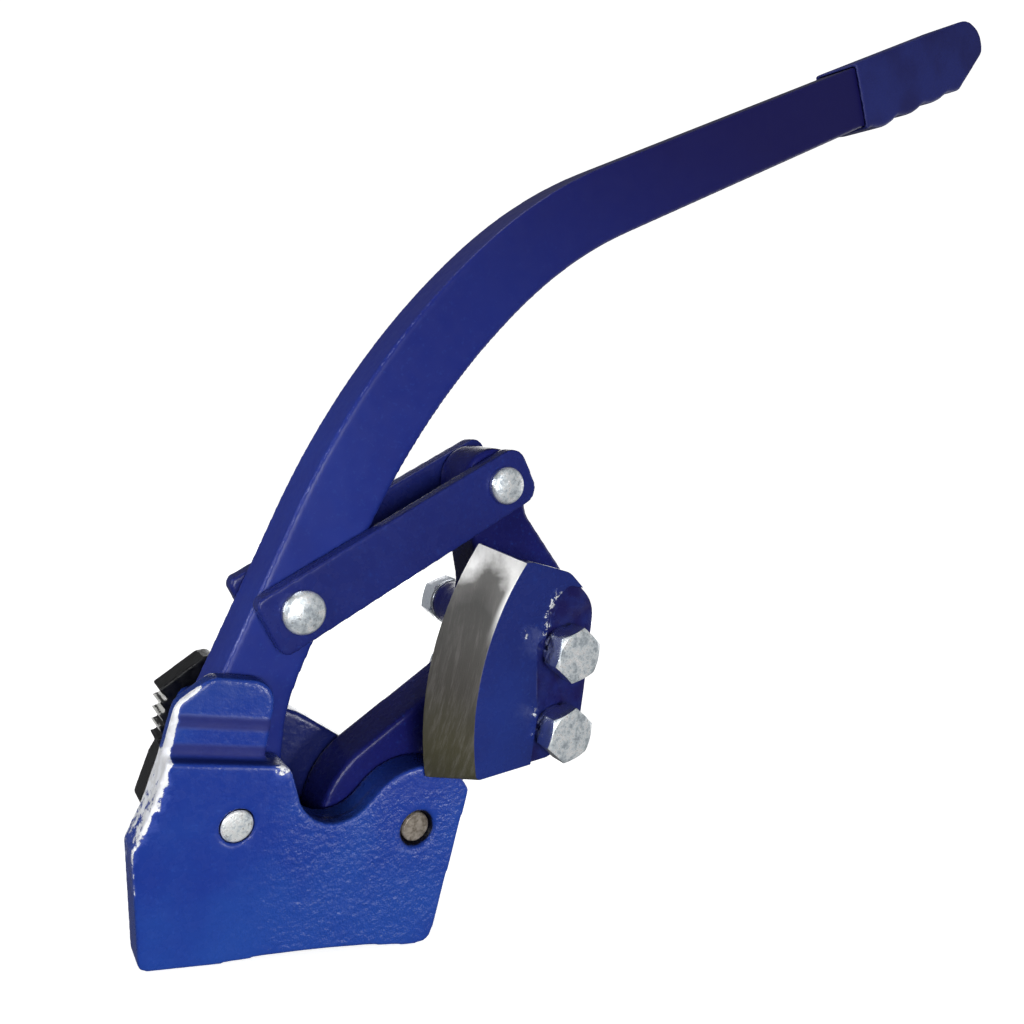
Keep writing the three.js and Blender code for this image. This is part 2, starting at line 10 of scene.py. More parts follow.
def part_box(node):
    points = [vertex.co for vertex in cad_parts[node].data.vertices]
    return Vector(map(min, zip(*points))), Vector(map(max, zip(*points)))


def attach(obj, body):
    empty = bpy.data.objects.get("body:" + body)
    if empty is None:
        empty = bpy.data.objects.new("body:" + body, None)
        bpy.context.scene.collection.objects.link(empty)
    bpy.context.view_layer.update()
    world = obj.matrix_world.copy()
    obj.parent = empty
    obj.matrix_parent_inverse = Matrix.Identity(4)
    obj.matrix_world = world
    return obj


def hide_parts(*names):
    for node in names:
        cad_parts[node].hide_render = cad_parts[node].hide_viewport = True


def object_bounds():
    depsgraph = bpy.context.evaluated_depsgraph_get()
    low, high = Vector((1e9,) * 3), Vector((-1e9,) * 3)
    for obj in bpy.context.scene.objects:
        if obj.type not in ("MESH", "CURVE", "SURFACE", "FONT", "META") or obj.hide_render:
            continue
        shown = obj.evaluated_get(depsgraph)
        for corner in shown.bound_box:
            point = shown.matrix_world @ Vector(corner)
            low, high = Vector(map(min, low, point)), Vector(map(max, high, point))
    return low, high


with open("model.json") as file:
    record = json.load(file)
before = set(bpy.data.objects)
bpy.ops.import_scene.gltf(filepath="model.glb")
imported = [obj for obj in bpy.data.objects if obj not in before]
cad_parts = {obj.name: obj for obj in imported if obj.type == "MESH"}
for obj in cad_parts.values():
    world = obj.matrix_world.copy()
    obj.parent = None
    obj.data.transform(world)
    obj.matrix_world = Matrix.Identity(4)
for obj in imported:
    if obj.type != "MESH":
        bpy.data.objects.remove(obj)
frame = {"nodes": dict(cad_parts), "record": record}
CAD_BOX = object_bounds()
NODES = frame["nodes"]
RECORD = frame["record"]
BODY_OF = {n: b for b, names in RECORD["behaviour"]["bodies"].items() for n in names}
MM = 0.001


# ---------------------------------------------------------------- shader building
class Nodes:
    """A short way to write a node tree. Colours are linear RGB."""

    def __init__(self, name):
        self.material = bpy.data.materials.new(name)
        self.material.use_nodes = True
        self.tree = self.material.node_tree
        self.shader = self.tree.nodes["Principled BSDF"]
        self.place = self.add("ShaderNodeTexCoord").outputs["Object"]

    def add(self, kind, **settings):
        node = self.tree.nodes.new(kind)
        for key, value in settings.items():
            setattr(node, key, value)
        return node

    def put(self, socket, value):
        if isinstance(value, bpy.types.NodeSocket):
            self.tree.links.new(value, socket)
        elif socket.type == "RGBA":
            socket.default_value = (*value[:3], 1)
        else:
            socket.default_value = value

    def math(self, operation, a, b=0.0):
        node = self.add("ShaderNodeMath", operation=operation)
        self.put(node.inputs[0], a)
        self.put(node.inputs[1], b)
        return node.outputs[0]

    def plus(self, first, *others):
        for other in others:
            first = self.math("ADD", first, other)
        return first

    def times(self, first, *others):
        for other in others:
            first = self.math("MULTIPLY", first, other)
        return first

    def stretched(self, scale):
        node = self.add("ShaderNodeMapping")
        self.put(node.inputs["Vector"], self.place)
        node.inputs["Scale"].default_value = scale
        return node.outputs[0]

    def noise(self, scale, detail=3.0, rough=0.55, vector=None):
        node = self.add("ShaderNodeTexNoise")
        self.put(node.inputs["Vector"], vector or self.place)
        node.inputs["Scale"].default_value = scale
        node.inputs["Detail"].default_value = detail
        node.inputs["Roughness"].default_value = rough
        return node.outputs["Fac"]

    def span(self, value, low, high, to_low=0.0, to_high=1.0):
        """value from low..high to to_low..to_high, smoothly, and held past both ends."""
        node = self.add("ShaderNodeMapRange", interpolation_type="SMOOTHSTEP")
        self.put(node.inputs["Value"], value)
        for key, number in (("From Min", low), ("From Max", high), ("To Min", to_low), ("To Max", to_high)):
            node.inputs[key].default_value = number
        return node.outputs["Result"]

    def mix(self, fac, a, b):
        node = self.add("ShaderNodeMix", data_type="RGBA")
        self.put(node.inputs["Factor"], fac)
        self.put(node.inputs[6], a)
        self.put(node.inputs[7], b)
        return node.outputs[2]

    def ramp(self, value, stops):
        node = self.add("ShaderNodeValToRGB")
        self.put(node.inputs["Fac"], value)
        elements = node.color_ramp.elements
        while len(elements) < len(stops):
            elements.new(0.5)
        for element, (at, colour) in zip(elements, stops):
            element.position = at
            element.color = (*colour, 1)
        return node.outputs["Color"]

    def axis(self, which):
        node = self.add("ShaderNodeSeparateXYZ")
        self.put(node.inputs[0], self.place)
        return node.outputs[which]

    def distance(self, place, flat=False):
        """How far a point is from place, or from a line along Y through place."""
        node = self.add("ShaderNodeVectorMath", operation="DISTANCE")
        self.put(node.inputs[0], self.stretched((1, 0, 1)) if flat else self.place)
        node.inputs[1].default_value = (place[0], 0 if flat else place[1], place[2])
        return node.outputs["Value"]

    def facing(self, which):
        """One part of the surface's own direction, before any bump."""
        node = self.add("ShaderNodeSeparateXYZ")
        self.put(node.inputs[0], self.add("ShaderNodeNewGeometry").outputs["Normal"])
        return node.outputs[which]

    def attribute(self, name):
        return self.add("ShaderNodeAttribute", attribute_name=name).outputs["Fac"]

    def bump(self, height, distance, after=None):
        node = self.add("ShaderNodeBump")
        node.inputs["Distance"].default_value = distance
        node.inputs["Strength"].default_value = 1.0
        self.put(node.inputs["Height"], height)
        if after is not None:
            self.put(node.inputs["Normal"], after)
        return node.outputs["Normal"]

    def finish(self, colour, rough, metal=0.0, normal=None):
        self.put(self.shader.inputs["Base Color"], colour)
        self.put(self.shader.inputs["Roughness"], rough)
        self.put(self.shader.inputs["Metallic"], metal)
        if normal is not None:
            self.put(self.shader.inputs["Normal"], normal)
        return self.material


# ---------------------------------------------------------------- enamel
BLUE = (0.013, 0.049, 0.268)
BLUE_DEEP = (0.010, 0.031, 0.225)
BLUE_DARK = (0.011, 0.010, 0.092)
BLUE_PAINTED_SHADE = (0.003, 0.003, 0.022)
BLUE_INSIDE_SHADE = (0.007, 0.006, 0.050)
BLUE_SPECK = (0.025, 0.07, 0.34)
BLUE_RUBBED = (0.06, 0.10, 0.40)
GRIME = (0.002, 0.002, 0.006)
PRIMER = (0.86, 0.88, 0.93)
CHIP_STEEL = (0.70, 0.71, 0.74)
SCUFFED_FROM = 0.82
CHIPPED_FROM = 1.02
BARE_FROM = 1.08
CHIP_DEPTH = 0.12 * MM
PEEL_HEIGHT = 0.05 * MM
LUMP_HEIGHT = 0.56 * MM
LEAST_LUMP_HEIGHT = 0.04 * MM


def seat_shade(n, base, recess):
    """base painted darker and mottled past the Y of a machined seat: painted shade in the recess."""
    mottle = n.span(n.noise(170, 4), 0.35, 0.62, 1.0, 0.45)
    seat = n.times(n.span(n.axis(1), recess - 0.5 * MM, recess), mottle)
    return n.mix(seat, base, BLUE_DARK)


def pin_grime(n, base, rings):
    """base with a grimy gap round each pin."""
    for place, inner, outer in rings:
        out = n.plus(n.distance(place, flat=True), n.times(n.noise(300, 2), 0.8 * MM))
        gap = n.times(n.span(out, inner - 0.2 * MM, inner), n.span(out, outer, outer - 0.5 * MM))
        base = n.mix(gap, base, GRIME)
    return base


def shade_inside(n, base, inside):
    """base painted darker on faces nearer than inside to the mid plane: painted shade inside the fork."""
    deep = n.math("ABSOLUTE", n.axis(1))
    inside_shade = n.span(deep, inside + 1.1 * MM, inside + 0.3 * MM, 0.0, 0.8)
    return n.mix(inside_shade, base, BLUE_INSIDE_SHADE)


def paint_wear_and_glints(n, spots):
    """How worn the paint is: the mesh's own wear, crisp flecks in each spot, and a ragged border to both;
    the spots also paint glints.
    """
    wear = n.attribute("wear")
    for place, reach in spots:
        flecks = n.span(n.noise(560, 5, 0.7), 0.47, 0.58)
        wear = n.plus(wear, n.times(n.span(n.distance(place), reach, 0.0), flecks, 0.64))
    ragged = n.plus(n.times(n.noise(330, 5, 0.7), 0.75), n.times(n.noise(60, 2), 0.35))
    return n.plus(wear, ragged)


def crease_shade(n, heights):
    """Painted shade: darker bands across the front left of the casting, at the given heights."""
    bands = 0.0
    for height in heights:
        off = n.math("ABSOLUTE", n.math("SUBTRACT", n.axis(2), height))
        bands = n.math("MAXIMUM", bands, n.span(off, 2.6 * MM, 0.9 * MM))
    in_front = n.span(n.axis(1), -14 * MM, -15 * MM)
    on_the_left = n.span(n.axis(0), 13 * MM, 10 * MM)
    return n.times(bands, n.times(in_front, on_the_left))


def cast_lumps(n):
    """Lumps of the metal under the paint, strongest low and to the right on the outside of the cheeks."""
    lumps = n.plus(n.noise(520, 3, 0.6), n.times(n.noise(150, 2), 0.8))
    low_right = n.times(n.span(n.axis(0), -5 * MM, 35 * MM), n.span(n.axis(2), 62 * MM, 36 * MM))
    outside = n.span(n.math("ABSOLUTE", n.axis(1)), 17 * MM, 19 * MM)
    return n.times(lumps, n.plus(0.22, n.times(low_right, outside, 0.9)))


def enamel(name, tones, cast, shade_by_height=None, rubbed=BLUE_RUBBED, spots=(), recess=None, rings=(), inside=None,
           creases=(), gloss=0.25, polish=0.22):
    """Blue enamel in clouds of two tones, on metal that is lumpy by cast, from 0 to 1.

    dark is the height where the paint starts to turn darker and the height where it is darkest, as painted
    shade higher up. rubbed is its colour along worn edges, on the lever also a painted highlight and on the
    blade painted glints. spots are chipped places as (place, reach) that also paint glints, recess is the Y
    past which a machined seat is painted darker and mottled as painted shade, rings are grimy gaps round
    pins as (place, inner, outer), and faces nearer than inside to the mid plane are painted darker as
    painted shade. creases are the heights of darker, matt bands of painted shade across the front left of
    the piece. gloss is the specular level, and polish is the least roughness.
    """
    n = Nodes(name)
    cloud = n.noise(22, 4)
    fine = n.noise(260, 3)
    base = n.mix(n.span(cloud, 0.35, 0.68), *tones)
    base = n.mix(n.span(n.noise(900, 2), 0.58, 0.74, 0.0, 0.3), base, BLUE_SPECK)
    # Painted shade: the paint turns darker higher up.
    if shade_by_height is not None:
        height = n.plus(n.axis(2), n.times(n.math("SUBTRACT", cloud, 0.5), 80 * MM))
        base = n.mix(n.span(height, *shade_by_height), base, BLUE_DARK)
    # Painted shade in the machined seat.
    if recess is not None:
        base = seat_shade(n, base, recess)
    # Painted shade in inner corners and on faces that look up.
    base = n.mix(n.span(n.attribute("painted_shade"), 0.06, 0.45, 0.0, 0.9), base, BLUE_PAINTED_SHADE)
    base = pin_grime(n, base, rings)
    # Painted shade on the faces inside the fork.
    if inside is not None:
        base = shade_inside(n, base, inside)
    # Painted shade: darker, matt bands at the lug's creases.
    grimy = 0.0
    if creases:
        grimy = crease_shade(n, creases)
        base = n.mix(n.times(grimy, 0.7), base, BLUE_DARK)

    # Besides wear, worn paints a highlight along the lever's front left edge and glints at the blade's seat.
    worn = paint_wear_and_glints(n, spots)
    scuff = n.span(worn, SCUFFED_FROM, CHIPPED_FROM, 0.0, 0.45)
    chips = n.span(worn, CHIPPED_FROM, BARE_FROM)
    bare = n.mix(n.span(fine, 0.4, 0.6), PRIMER, CHIP_STEEL)
    colour = n.mix(chips, n.mix(scuff, base, rubbed), bare)

    rough = n.plus(n.span(fine, 0.3, 0.7, polish, polish + 0.1), n.times(chips, 0.2), n.times(grimy, 0.4))
    peel = n.bump(n.noise(620, 2), PEEL_HEIGHT * cast)
    normal = n.bump(cast_lumps(n), LEAST_LUMP_HEIGHT + LUMP_HEIGHT * cast, after=peel)
    normal = n.bump(n.times(chips, -1.0), CHIP_DEPTH, after=normal)
    n.shader.inputs["Specular IOR Level"].default_value = gloss
    return n.finish(colour, rough, n.times(chips, 0.1), normal)


# ---------------------------------------------------------------- metals and vinyl
BRIGHTEST = 0.97
ZINC_TONES = ((0.36, (0.32, 0.36, 0.40)), (0.50, (0.62, 0.67, 0.70)), (0.62, (0.90, 0.93, 0.92)))
ZINC_PIT = (0.22, 0.21, 0.20)
ZINC_SIDE_REFLECTION = (0.62, 0.68, 0.78)
BEVEL_CENTRE = (158 * MM, 0, 99 * MM)
BEVEL_INNER = 93 * MM
BEVEL_OUTER = 106 * MM
BEVEL_TONES_AND_REFLECTION = (
    (0.02, (0.064, 0.060, 0.034)),
    (0.30, (0.046, 0.042, 0.036)),
    (0.80, (0.046, 0.045, 0.043)),
    (0.90, (0.12, 0.118, 0.115)),
    (0.96, (0.92, 0.92, 0.91)),
)
BEVEL_STREAK = (0.24, 0.23, 0.22)
LIP_STEEL = (0.75, 0.75, 0.74)
LIP_WIDTH = 1.6 * MM
OXIDE_DEEP = (0.004, 0.004, 0.005)
OXIDE = (0.022, 0.023, 0.026)
OXIDE_RUB_AND_GLINT = (0.72, 0.72, 0.70)
VINYL_DEEP = (0.013, 0.016, 0.120)
VINYL = (0.018, 0.026, 0.170)
VINYL_SCUFF = (0.06, 0.08, 0.24)


def zinc(name, lift, side_metal=0.97):
    """Bright zinc plate with the mottled spangle of a used fastener.

    lift makes it paler. The sides of the heads are smoother, metallic by side_metal, and tinted blue as a
    painted reflection of the blue paint round them.
    """
    n = Nodes(name)
    blotch = n.noise(420, 5, 0.7)
    colour = n.ramp(blotch, [(at, [min(c * lift, BRIGHTEST) for c in tone]) for at, tone in ZINC_TONES])
    pit = n.span(n.noise(1300, 2), 0.60, 0.70)
    colour = n.mix(n.times(pit, 0.6), colour, ZINC_PIT)
    # Painted reflection: the sides of the heads are tinted blue.
    side = n.span(n.math("ABSOLUTE", n.facing(1)), 0.72, 0.35)
    colour = n.mix(n.times(side, 0.7), colour, ZINC_SIDE_REFLECTION)
    rough = n.times(n.span(blotch, 0.3, 0.7, 0.44, 0.24), n.span(side, 0, 1, 1, 0.55))
    normal = n.bump(n.plus(blotch, n.noise(2200, 2)), 0.09 * MM)
    return n.finish(colour, rough, n.span(side, 0, 1, 0.4, side_metal), normal)


def ground_steel(name):
    """The ground bevel: bright at its top and along its inner edge, brown grey below, olive at its foot. The
    fall from bright at the top to darker below is a painted reflection, and the brown and olive tones are
    the steel's own.
    """
    n = Nodes(name)
    low, high = (c[2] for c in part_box("cutting_blade"))
    out = n.distance(BEVEL_CENTRE, flat=True)
    across = n.span(out, BEVEL_INNER, BEVEL_OUTER)
    along = n.span(n.axis(2), low, high)
    smear = n.times(n.math("SUBTRACT", n.noise(70, 4, 0.65), 0.5), 0.14)
    tongue = n.times(across, n.math("SUBTRACT", 1.0, across), -0.22)
    # Painted reflection: bright at the top, darker below.
    colour = n.ramp(n.plus(along, smear, tongue), BEVEL_TONES_AND_REFLECTION)
    streaks = n.noise(9, 6, 0.75, n.stretched((90, 40, 7)))
    colour = n.mix(n.span(streaks, 0.45, 0.75, 0.0, 0.30), colour, BEVEL_STREAK)
    lip = n.times(n.span(out, BEVEL_INNER + LIP_WIDTH, BEVEL_INNER), n.span(along, 0.62, 0.92))
    colour = n.mix(lip, colour, LIP_STEEL)
    rough = n.span(streaks, 0.3, 0.7, 0.40, 0.56)
    normal = n.bump(n.noise(12, 3, 0.6, n.stretched((300, 160, 18))), 0.08 * MM)
    return n.finish(colour, rough, 0.25, normal)


def bare_metal(name, dull, bright, metal, scale=500):
    """Unpainted metal, mottled between a dull and a bright tone."""
    n = Nodes(name)
    grain = n.noise(scale, 5, 0.65)
    colour = n.mix(n.span(grain, 0.35, 0.65), dull, bright)
    return n.finish(colour, n.span(grain, 0.3, 0.7, 0.44, 0.28), metal, n.bump(grain, 0.08 * MM))


def black_oxide(name):
    """Blackened steel rubbed bright along its corners."""
    n = Nodes(name)
    grain = n.noise(380, 5, 0.7)
    colour = n.mix(n.span(grain, 0.35, 0.7), OXIDE_DEEP, OXIDE)
    rub = n.span(n.plus(n.attribute("wear"), n.times(n.noise(700, 4, 0.7), 0.6)), 0.64, 0.78)
    # Rubbed steel, and on the jaw's teeth painted glints.
    colour = n.mix(rub, colour, OXIDE_RUB_AND_GLINT)
    return n.finish(colour, n.span(grain, 0.3, 0.7, 0.30, 0.48), 0.2, n.bump(grain, 0.16 * MM))


def vinyl(name):
    """Dipped vinyl: soft sheen, fine pebbling and a few scuffs."""
    n = Nodes(name)
    cloud = n.noise(35, 4)
    colour = n.mix(n.span(cloud, 0.35, 0.65), VINYL_DEEP, VINYL)
    scuff = n.span(n.noise(14, 6, 0.8, n.stretched((30, 120, 30))), 0.60, 0.74, 0.0, 0.25)
    colour = n.mix(scuff, colour, VINYL_SCUFF)
    pebble = n.bump(n.noise(1100, 2), 0.12 * MM)
    normal = n.bump(n.noise(120, 3), 0.2 * MM, after=pebble)
    n.shader.inputs["Specular IOR Level"].default_value = 0.3
    return n.finish(colour, n.span(cloud, 0.3, 0.7, 0.58, 0.46), 0.0, normal)


# ---------------------------------------------------------------- looks
def pivot(joint):
    return next(j["pos_m"] for j in RECORD["behaviour"]["joints"] if j["name"] == joint)


CAST_TONES = (BLUE_DEEP, BLUE)
# The arm's tones are a darker copy of the same blue enamel: painted shade.
ARM_SHADED_TONES = ((0.009, 0.010, 0.098), (0.012, 0.016, 0.150))
LEVER_TONES = ((0.013, 0.025, 0.215), (0.015, 0.034, 0.265))
LINK_TONES = ((0.014, 0.020, 0.145), (0.017, 0.028, 0.19))
BLADE_TONES = ((0.015, 0.026, 0.165), (0.017, 0.036, 0.22))
# Rubbed paint and a painted highlight on the lever's edge.
LEVER_RUB_AND_HIGHLIGHT = (0.34, 0.38, 0.70)
# Rubbed paint and painted glints on the blade.
BLADE_RUB_AND_GLINT = (0.06, 0.09, 0.34)
STEEL_TONES = ((0.16, 0.13, 0.10), (0.46, 0.41, 0.35))
BRONZE_TONES = ((0.42, 0.25, 0.09), (0.62, 0.40, 0.17))
PIN_EDGE = 5.1 * MM
PIN_GAPS = [(pivot("arm_pivot"), PIN_EDGE, 6.9 * MM), (pivot("lever_pivot"), PIN_EDGE, 5.9 * MM)]
CHEEK_INSIDE = 9.9 * MM
LUG_CREASES = (71.6 * MM, 63.4 * MM)
BLADE_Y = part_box("cutting_blade")[0][1]
SEAT_Y = BLADE_Y + 1.6 * MM
# Chips and painted glints along the edge of the blade's machined seat.
SEAT_CHIPS_AND_GLINTS = [((x * MM, BLADE_Y, z * MM), reach * MM) for x, z, reach in (
    (78.7, 113.3, 7), (88.6, 127, 7), (87.0, 120.5, 7), (87.6, 114.5, 6), (90.5, 87, 7), (91.5, 79.5, 4))]
LOOKS = {
    "paint_cast": enamel("paint_cast", CAST_TONES, 1.0, shade_by_height=(62 * MM, 150 * MM), rings=PIN_GAPS,
                         inside=CHEEK_INSIDE, creases=LUG_CREASES, gloss=0.22),
    "paint_arm_shaded": enamel("paint_arm_shaded", ARM_SHADED_TONES, 0.4, gloss=0.18),
    "paint_lever": enamel("paint_lever", LEVER_TONES, 0.05, shade_by_height=(140 * MM, 340 * MM),
                          rubbed=LEVER_RUB_AND_HIGHLIGHT, polish=0.34),
    "paint_link": enamel("paint_link", LINK_TONES, 0.25),
    "paint_blade": enamel("paint_blade", BLADE_TONES, 0.2, rubbed=BLADE_RUB_AND_GLINT, spots=SEAT_CHIPS_AND_GLINTS,
                          recess=SEAT_Y),
    "zinc": zinc("zinc", 1.12),
    # A paler, less mirror-like copy of the zinc for the nut: painted light on the nut behind the blade.
    "zinc_nut_lit": zinc("zinc_nut_lit", 1.5, 0.2),
    "zinc_pale": zinc("zinc_pale", 1.5),
    "bevel": ground_steel("bevel"),
    "pin_steel": bare_metal("pin_steel", *STEEL_TONES, 0.35),
    "black_oxide": black_oxide("black_oxide"),
    "bronze": bare_metal("bronze", *BRONZE_TONES, 0.5, scale=300),
    "vinyl": vinyl("vinyl"),
}


# ---------------------------------------------------------------- mesh work
WELD_REACH = 0.001 * MM
FLAT_WITHIN = 0.5
SHARP_FROM = 35
WEAR_BY_ROUNDING = 0.9
MOST_WEAR_BY_ROUNDING = 0.4
TOPS_FROM = 0.35
SHADE_ON_TOPS = 0.45


def skin_of(node):
    """A copy of the node's mesh with one vertex where several meet, so that smoothing runs across faces."""
    obj = bpy.data.objects.new(node + "_skin", NODES[node].data.copy())
    bpy.context.scene.collection.objects.link(obj)
    bm = bmesh.new()
    bm.from_mesh(obj.data)
    bmesh.ops.remove_doubles(bm, verts=bm.verts, dist=WELD_REACH)
    bm.to_mesh(obj.data)
    bm.free()
    return obj


def bake_modifiers(obj):
    """Turn the result of obj's modifiers into its own mesh."""
    graph = bpy.context.evaluated_depsgraph_get()
    mesh = bpy.data.meshes.new_from_object(obj.evaluated_get(graph), depsgraph=graph)
    obj.modifiers.clear()
    obj.data = mesh


def rows(mesh, which):
    """The place ("co") or the direction ("normal") of every vertex, one row each."""
    flat = np.empty(len(mesh.vertices) * 3)
    mesh.vertices.foreach_get(which, flat)
    return flat.reshape(-1, 3)


def cast_piece(node, look, voxel, rounds, wear=None):
    """The node's solid with every corner and inner corner rounded, as cast or thickly painted metal is.

    Each vertex gets two values: wear, high where the rounding took a corner away, and hollow, a painted
    shade that is high where it filled an inner corner and on faces that look up.
    """
    obj = skin_of(node)
    remesh = obj.modifiers.new("voxels", "REMESH")
    remesh.mode = "VOXEL"
    remesh.voxel_size = voxel
    remesh.use_smooth_shade = True
    bake_modifiers(obj)
    before = rows(obj.data, "co")
    smooth = obj.modifiers.new("rounding", "SMOOTH")
    smooth.factor = 0.5
    smooth.iterations = rounds
    bake_modifiers(obj)
    after = rows(obj.data, "co")
    facing = rows(obj.data, "normal")
    pulled = -((after - before) * facing).sum(1) / voxel
    worn = np.clip(pulled * WEAR_BY_ROUNDING, 0, MOST_WEAR_BY_ROUNDING)
    if wear is not None:
        worn = worn + wear(after, facing, worn)
    low, high = (np.array(c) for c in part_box(node))
    obj.data.vertices.foreach_set("co", np.clip(after, low, high).ravel())
    set_values(obj, "wear", np.clip(worn, 0, 1))
    # Painted shade on faces that look up.
    top_shade = np.clip(facing[:, 2] - TOPS_FROM, 0, 1) * SHADE_ON_TOPS
    set_values(obj, "painted_shade", np.clip(np.maximum(-pulled, top_shade), 0, 1))
    dress(obj, node, look)
    return obj


def set_values(obj, name, values):
    layer = obj.data.attributes.new(name, "FLOAT", "POINT")
    layer.data.foreach_set("value", np.asarray(values, dtype=np.float32))


def dress(obj, node, look):
    """Give obj its material, and make it the visible form of the node."""
    obj.data.materials.clear()
    obj.data.materials.append(LOOKS[look])
    obj.data.shade_smooth()
    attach(obj, BODY_OF[node])
    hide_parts(node)


def machined_piece(node, look, width, angle=28):
    """The node's solid with edges sharper than angle broken by width, as on turned and ground parts."""
    obj = skin_of(node)
    flat = obj.modifiers.new("planar", "DECIMATE")
    flat.decimate_type = "DISSOLVE"
    flat.angle_limit = math.radians(FLAT_WITHIN)
    bevel = obj.modifiers.new("edges", "BEVEL")
    bevel.width = width
    bevel.segments = 2
    bevel.limit_method = "ANGLE"
    bevel.angle_limit = math.radians(angle)
    bake_modifiers(obj)
    dress(obj, node, look)
    obj.data.set_sharp_from_angle(angle=math.radians(SHARP_FROM))
    return obj


# ---------------------------------------------------------------- where paint is worn
RIM_EDGE_Z = [0.0, 35 * MM, 46 * MM, 61 * MM, 76 * MM, 85 * MM]
RIM_EDGE_X = [-19 * MM, -28.4 * MM, -25.8 * MM, -24.2 * MM, -23.8 * MM, -15 * MM]
RIM_WEAR_Z = [24 * MM, 38 * MM, 50 * MM, 57 * MM]
RIM_WEAR = [0.34, 0.44, 0.51, 0.62]
BARE_REACH = 8 * MM
THIN_EDGE = 2.6 * MM
CORNER_X = 10 * MM
CORNER_Z = 59 * MM
TIPS_X = -16.4 * MM


def near(values, target, reach):
    """1 at target, falling to 0 at reach from it."""
    return np.clip(1 - np.abs(values - target) / reach, 0, 1)


def between(values, low, high, soft):
    """1 inside low..high, falling to 0 over soft past each end."""
    return np.clip((values - low) / soft + 1, 0, 1) * np.clip((high - values) / soft + 1, 0, 1)


def body_wear(at, facing, convex):
    """Bare along the edge that meets the rim, and chipped where the step meets the valley."""
    x, y, z = at.T
    inward = x - np.interp(z, RIM_EDGE_Z, RIM_EDGE_X)
    in_front = np.clip(-(y + 8 * MM) / (3 * MM), 0, 1)
    at_edge = np.clip(1 - inward / BARE_REACH, 0, 1)
    left = np.clip(-facing[:, 0] * 2 - 0.5, 0, 1) * at_edge
    most = np.interp(z, RIM_WEAR_Z, RIM_WEAR)
    rim = left * between(z, 24 * MM, 60 * MM, 6 * MM) * most
    spill = at_edge * between(z, 34 * MM, 56 * MM, 6 * MM) * (most - 0.02)
    foremost = np.clip((-13.5 * MM - y) / (1.5 * MM), 0, 1)
    thin = np.clip(1 - inward / THIN_EDGE, 0, 1) * between(z, 60 * MM, 80 * MM, 4 * MM) * 0.9 * foremost
    corner = near(x, CORNER_X, 8 * MM) * near(z, CORNER_Z, 7 * MM) * 0.55
    return (np.maximum(rim, np.maximum(spill, thin)) + corner) * in_front - 0.3 * convex


def arm_wear(at, facing, convex):
    """Hardly worn along its edges, as on the links."""
    return -0.8 * convex


def jaw_wear_and_glints(at, facing, convex):
    """Rubbed bright on every corner, and most on the tips of the teeth, whose bright tips are also painted
    glints.
    """
    x, z = at[:, 0], at[:, 2]
    tips = np.clip(-facing[:, 0] * 2 - 0.4, 0, 1) * np.clip((TIPS_X - x) / (0.8 * MM) + 1, 0, 1)
    return convex + 0.75 * tips * between(z, 55 * MM, 68 * MM, 1 * MM)


def lever_wear_and_highlight(at, facing, convex):
    """Rubbed along the front left edge, low on the lever, and hardly anywhere else. The rubbed line is also
    a painted highlight on that edge.
    """
    edge = np.clip(-facing[:, 0] * 3 - 0.6, 0, 1) * np.clip(-facing[:, 1] * 3 - 0.6, 0, 1)
    low_down = between(at[:, 2], 60 * MM, 200 * MM, 40 * MM)
    return edge * low_down * 0.22 - 0.6 * convex * (1 - edge * low_down)


# ---------------------------------------------------------------- the object
casting = cast_piece("body_casting", "paint_cast", 0.8 * MM, 7, body_wear)
cast_piece("blade_arm", "paint_arm_shaded", 0.8 * MM, 12, arm_wear)
cast_piece("lever", "paint_lever", 0.9 * MM, 4, lever_wear_and_highlight)
cast_piece("link_front", "paint_link", 0.7 * MM, 4, arm_wear)
cast_piece("link_rear", "paint_link", 0.7 * MM, 4, arm_wear)
cast_piece("lever_grip", "vinyl", 0.8 * MM, 10)
cast_piece("gripper_jaw", "black_oxide", 0.45 * MM, 2, jaw_wear_and_glints)

PAIRS = (
    ("blade_bolt", "zinc", 0.4 * MM),
    ("blade_nut", "zinc_nut_lit", 0.4 * MM),
    ("spring_washer", "zinc", 0.3 * MM),
    ("flat_washer", "zinc", 0.3 * MM),
    ("link_rivet", "zinc", 0.3 * MM),
    ("jaw_screw", "black_oxide", 0.25 * MM),
)
PIN_PARTS = (
    ("lever_pin", "zinc_pale"),
    ("arm_pin", "pin_steel"),
    ("lever_pin_ring", "black_oxide"),
    ("arm_pin_ring", "black_oxide"),
    ("lever_bush", "bronze"),
    ("arm_bush", "bronze"),
)
for which in ("upper", "lower"):
    for stem, look, width in PAIRS:
        machined_piece(f"{stem}_{which}", look, width)
for node, look in PIN_PARTS:
    machined_piece(node, look, 0.2 * MM)

BEVEL_REACH = 24 * MM
BEVEL_HALF_HEIGHT = 41 * MM
BEVEL_LEAST_LEFT = 0.35
BEVEL_LEAST_FRONT = 0.2


def blade():
    """The blade is painted, and its bevel is ground bare."""
    obj = machined_piece("cutting_blade", "paint_blade", 0.35 * MM, angle=22)
    obj.data.materials.append(LOOKS["bevel"])
    low, high = (Vector(c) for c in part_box("cutting_blade"))
    middle = (low.z + high.z) / 2
    for face in obj.data.polygons:
        slanted = -face.normal.x > BEVEL_LEAST_LEFT and -face.normal.y > BEVEL_LEAST_FRONT
        in_reach = face.center.x < low.x + BEVEL_REACH and abs(face.center.z - middle) < BEVEL_HALF_HEIGHT
        if slanted and in_reach:
            face.material_index = 1


blade()


# ---------------------------------------------------------------- studio
PAPER_EDGE = (0.98, 0.98, 0.98)
PAPER_SHADED_MIDDLE = (0.82, 0.82, 0.82)
FLOOR_FLAT = 3.0
FLOOR_RISE = 1.6
FLOOR_TOP = 4.0
FLOOR_STEPS = 72
FLOOR_GAP = 0.2 * MM


